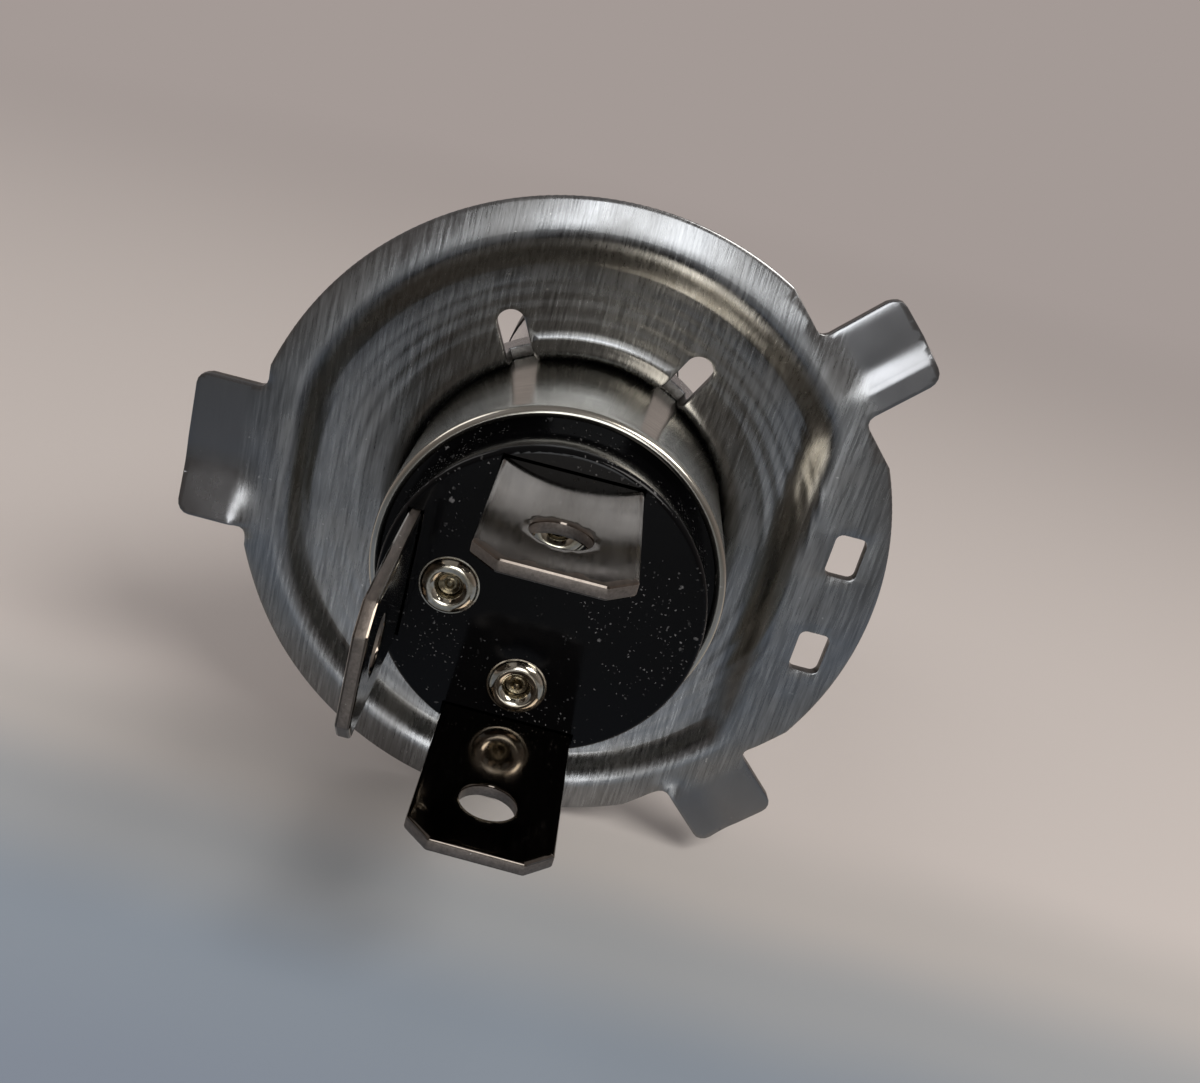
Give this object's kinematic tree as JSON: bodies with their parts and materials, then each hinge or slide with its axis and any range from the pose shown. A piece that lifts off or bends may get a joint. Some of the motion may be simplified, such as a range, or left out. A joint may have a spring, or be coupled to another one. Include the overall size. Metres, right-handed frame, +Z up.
{
  "type": "headlight bulb",
  "caption": "Two-filament halogen headlight bulb: pressed prefocus ring with locating lugs, polished sleeve, black plug with contact blades, and a glass envelope with a dark tip.",
  "frame": {"origin": "centre of the prefocus ring, in the plane of its front face, which seats on the lamp", "axes": "+Y along the bulb's axis towards the glass, the contact blades point along -Y, the wide lug points along -X, +Z is up as the bulb lies"},
  "size_m": [0.0472, 0.082, 0.043],
  "materials": {
    "ring_steel": "pressed steel, satin with fine straight grain",
    "sleeve_steel": "drawn and polished plated steel",
    "phenolic": "glossy black moulded phenolic",
    "eyelet_plate": "tinned brass",
    "solder": "solidified solder",
    "molybdenum_foil": "rolled foil sealed in glass",
    "molybdenum": "drawn molybdenum wire",
    "quartz": "clear fused quartz",
    "tip_black": "baked opaque dark coating",
    "holder_steel": "drawn stainless steel",
    "clip_steel": "pressed spring steel",
    "blade_plate": "nickel-plated, faintly streaked",
    "lead_wire": "drawn nickel wire",
    "tungsten": "coiled tungsten wire"
  },
  "bodies": {
    "root": {"base_sleeve": "sleeve_steel", "blade_common": "blade_plate", "blade_high_beam": "blade_plate", "blade_low_beam": "blade_plate", "filament_high_beam": "tungsten", "filament_low_beam": "tungsten", "glass_envelope": "quartz", "holder_shell": "holder_steel", "inner_lead_common": "molybdenum", "inner_lead_high_beam": "molybdenum", "inner_lead_low_beam": "molybdenum", "insulator_plug": "phenolic", "outer_lead_common": "lead_wire", "outer_lead_high_beam": "lead_wire", "outer_lead_low_beam": "lead_wire", "pinch_clip": "clip_steel", "prefocus_ring": "ring_steel", "rivet_eyelets": "eyelet_plate", "seal_foils": "molybdenum_foil", "shield_cup": "molybdenum", "solder_joints": "solder", "tip_coating": "tip_black"}
  },
  "joints": []
}
